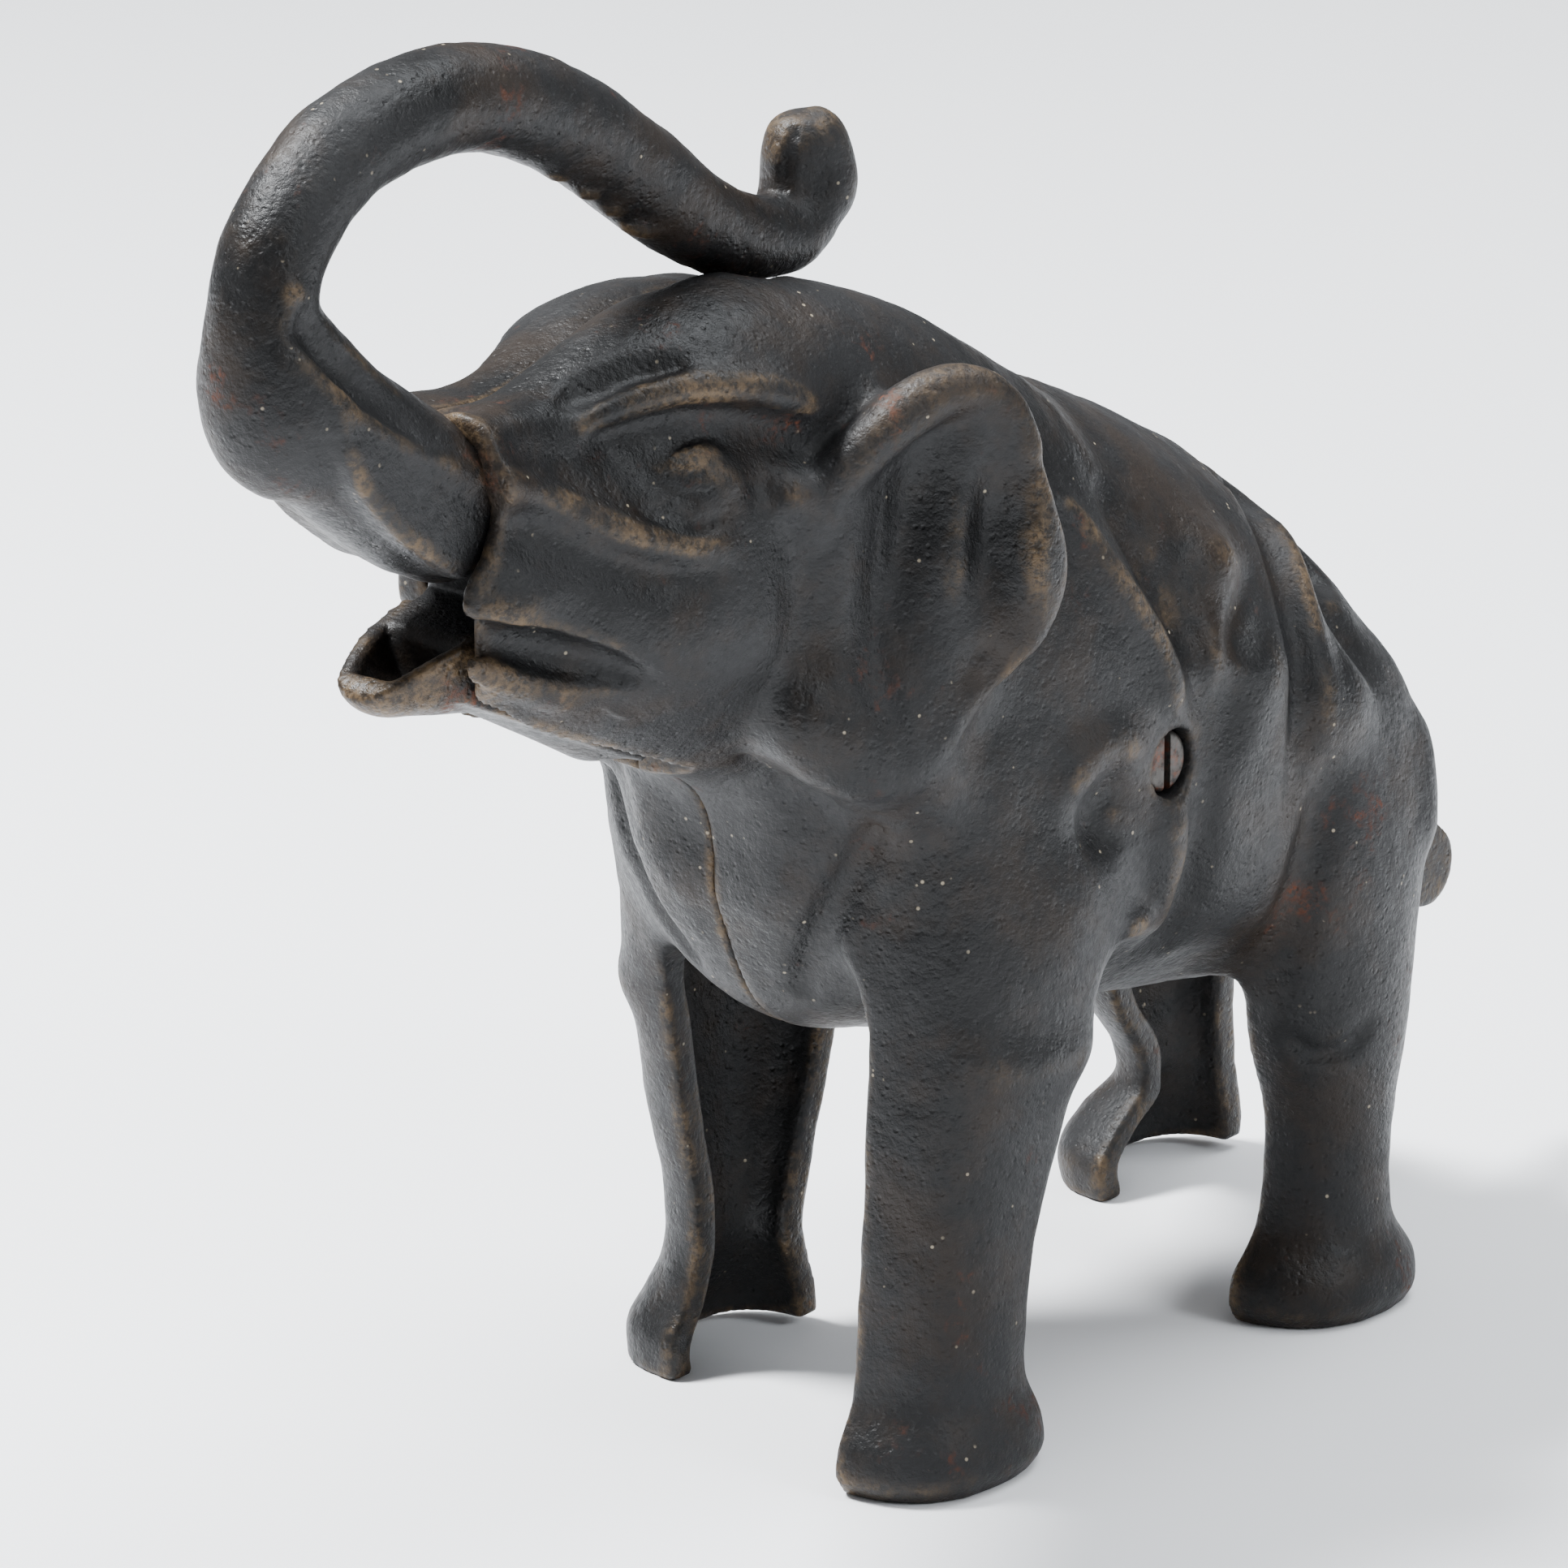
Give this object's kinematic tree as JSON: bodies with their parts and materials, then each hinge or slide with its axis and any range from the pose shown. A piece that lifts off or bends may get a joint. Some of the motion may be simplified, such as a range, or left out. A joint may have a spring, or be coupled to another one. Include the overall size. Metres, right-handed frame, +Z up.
{
  "type": "figural coin bank",
  "caption": "Cast iron elephant coin bank with two hollow body halves held by a screw and a raised trunk that rocks on a pin.",
  "frame": {"origin": "centre of the bounding box, on the surface that the feet stand on", "axes": "+Z up, the elephant faces -Y, its left side is +X, x = 0 is the parting plane of the halves"},
  "size_m": [0.0528, 0.151, 0.1175],
  "materials": {
    "body_casting": "sand cast, worn black japanning with brown rust in the recesses",
    "trunk_casting": "sand cast, worn black japanning with brown rust",
    "pin_steel": "plain dull steel",
    "screw_steel": "dark tarnished steel"
  },
  "bodies": {
    "bank_body": {"left_body_half": "body_casting", "right_body_half": "body_casting", "trunk_pivot_pin": "pin_steel", "assembly_screw": "screw_steel"},
    "trunk": {"trunk_lever": "trunk_casting"}
  },
  "joints": [
    {"name": "trunk_rock", "type": "hinge", "parent": "bank_body", "child": "trunk", "pos_m": [0, -0.042, 0.07], "axis": [1, 0, 0], "range_deg": [0, 10]}
  ]
}
